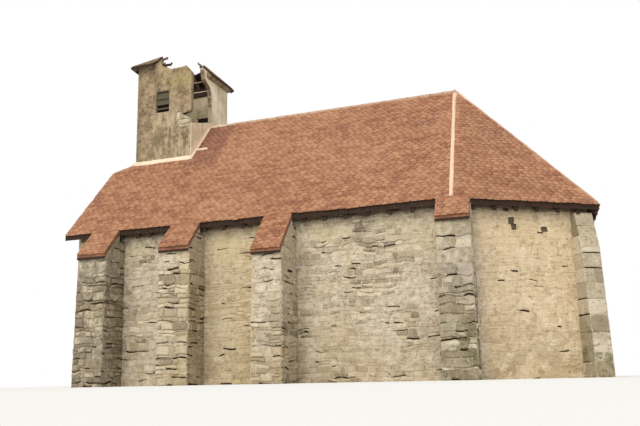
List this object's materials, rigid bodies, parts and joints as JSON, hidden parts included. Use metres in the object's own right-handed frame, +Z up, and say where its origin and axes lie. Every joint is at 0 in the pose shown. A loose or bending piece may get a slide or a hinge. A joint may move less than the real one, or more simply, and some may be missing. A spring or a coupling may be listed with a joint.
{
  "type": "small chapel with three-sided east end and ruined belfry",
  "caption": "Small rubble-stone chapel: steep tiled roof with west half hip, three-sided east end, sloped buttresses with tiled caps and a square belfry whose roof has collapsed.",
  "frame": {"origin": "middle of the plan on the rest plane, below the ridge", "axes": "+X east along the ridge towards the three-sided end, +Y north, +Z up"},
  "size_m": [13.446, 8.634, 10.4813],
  "materials": {
    "roof_tiles": "weathered flat clay tiles",
    "ridge_tiles": "half-round clay ridge tiles in mortar",
    "belfry_tiles": "old dark clay tiles",
    "pale_mortar": "rough lime mortar",
    "rubble": "weathered rubble masonry",
    "ashlar": "weathered dressed stone",
    "belfry_render": "streaked lime render with lichen",
    "old_timber": "dark weathered oak",
    "grey_boards": "grey weathered boards"
  },
  "bodies": {
    "root": {"apse_east_roof": "roof_tiles", "apse_east_wall": "rubble", "apse_jack_rafters": "old_timber", "apse_north_buttress": "ashlar", "apse_northeast_roof": "roof_tiles", "apse_northeast_wall": "rubble", "apse_south_buttress": "ashlar", "apse_southeast_roof": "roof_tiles", "apse_southeast_wall": "rubble", "belfry_cross_beams": "old_timber", "belfry_east_wall": "belfry_render", "belfry_eave_cove": "belfry_render", "belfry_flashing": "pale_mortar", "belfry_louvres": "grey_boards", "belfry_north_plate": "old_timber", "belfry_north_wall": "belfry_render", "belfry_rafters": "old_timber", "belfry_roof_northeast": "belfry_tiles", "belfry_roof_southwest": "belfry_tiles", "belfry_side_beams": "old_timber", "belfry_south_wall": "belfry_render", "belfry_west_wall": "belfry_render", "buttress_caps": "roof_tiles", "hip_fillets": "pale_mortar", "hip_rafters": "old_timber", "nave_north_wall": "rubble", "nave_south_wall": "rubble", "north_buttress_1": "ashlar", "north_buttress_2": "ashlar", "north_buttress_3": "ashlar", "north_buttress_4": "ashlar", "north_rafters": "old_timber", "north_roof_slope": "roof_tiles", "rafter_collars": "old_timber", "ridge_tiles": "ridge_tiles", "south_buttress_1": "ashlar", "south_buttress_2": "ashlar", "south_buttress_3": "ashlar", "south_buttress_4": "ashlar", "south_rafters": "old_timber", "south_roof_slope": "roof_tiles", "wall_plates": "old_timber", "west_door": "grey_boards", "west_door_sill": "ashlar", "west_door_surround": "ashlar", "west_gable": "rubble", "west_half_hip_roof": "roof_tiles", "west_wall_north": "rubble", "west_wall_south": "rubble"}
  },
  "joints": []
}
